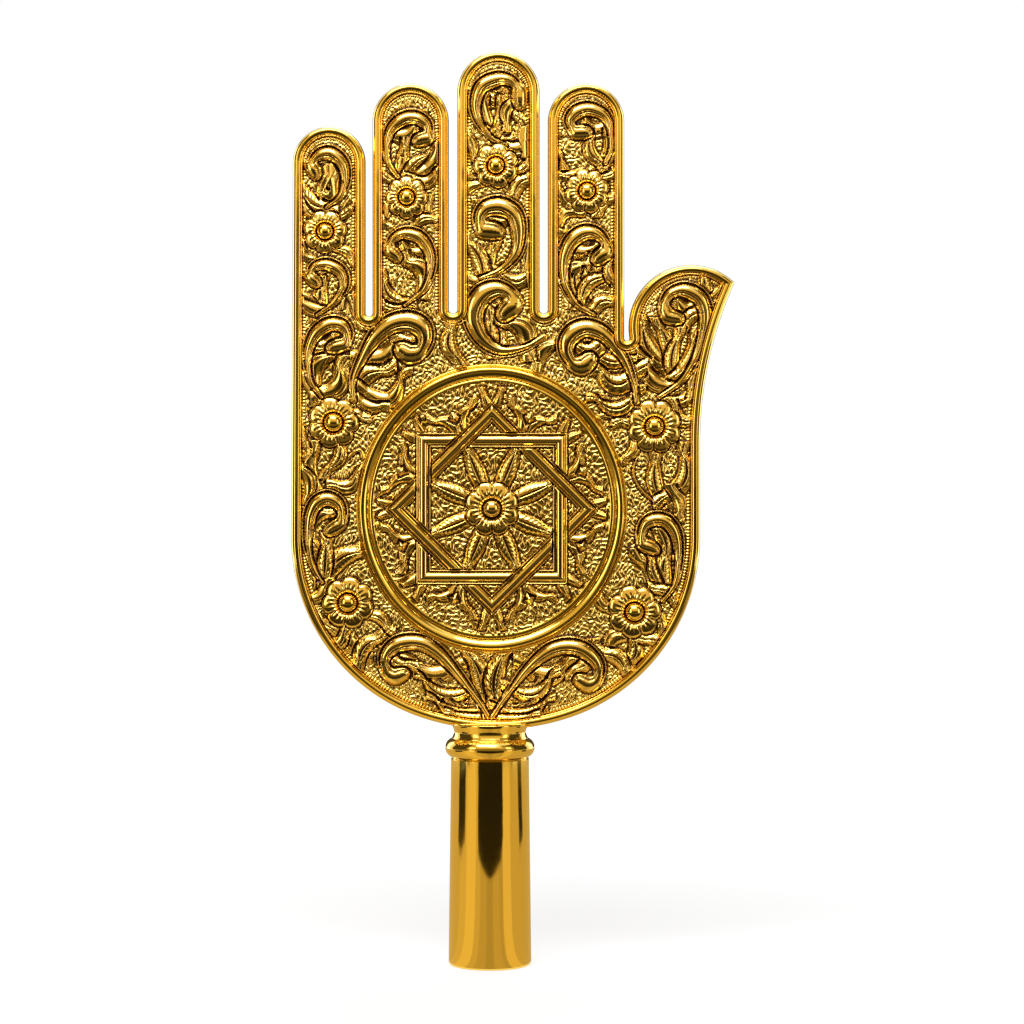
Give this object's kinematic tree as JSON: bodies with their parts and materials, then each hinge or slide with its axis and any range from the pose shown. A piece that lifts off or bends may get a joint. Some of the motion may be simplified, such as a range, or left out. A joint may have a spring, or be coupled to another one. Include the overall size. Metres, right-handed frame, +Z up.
{
  "type": "hand-shaped standard finial",
  "caption": "Hand-shaped ceremonial standard finial with embossed scrollwork, a round medallion and a turned neck on a tubular pole socket.",
  "frame": {"origin": "centre of the pole socket's mouth", "axes": "+Z up along the socket towards the fingertips, +X towards the thumb, the palm side faces -Y"},
  "size_m": [0.2088, 0.0422, 0.4298],
  "materials": {
    "polished_brass": "mirror-polished, gold-plated brass",
    "chased_brass": "embossed and chased, gold-plated brass",
    "steel": "plain rolled steel"
  },
  "bodies": {
    "root": {"socket_tube": "polished_brass", "neck_collar": "polished_brass", "tang_pin_lower": "steel", "tang_pin_upper": "steel", "core_plate": "steel", "rim_band": "polished_brass", "front_sheet": "chased_brass", "back_sheet": "chased_brass", "front_medallion_ring": "polished_brass", "back_medallion_ring": "polished_brass", "front_medallion": "chased_brass", "back_medallion": "chased_brass", "little_finger_rivet": "polished_brass", "ring_finger_rivet": "polished_brass", "middle_finger_rivet": "polished_brass", "index_finger_rivet": "polished_brass", "palm_upper_left_rivet": "polished_brass", "palm_upper_right_rivet": "polished_brass", "palm_lower_left_rivet": "polished_brass", "palm_lower_right_rivet": "polished_brass"}
  },
  "joints": []
}
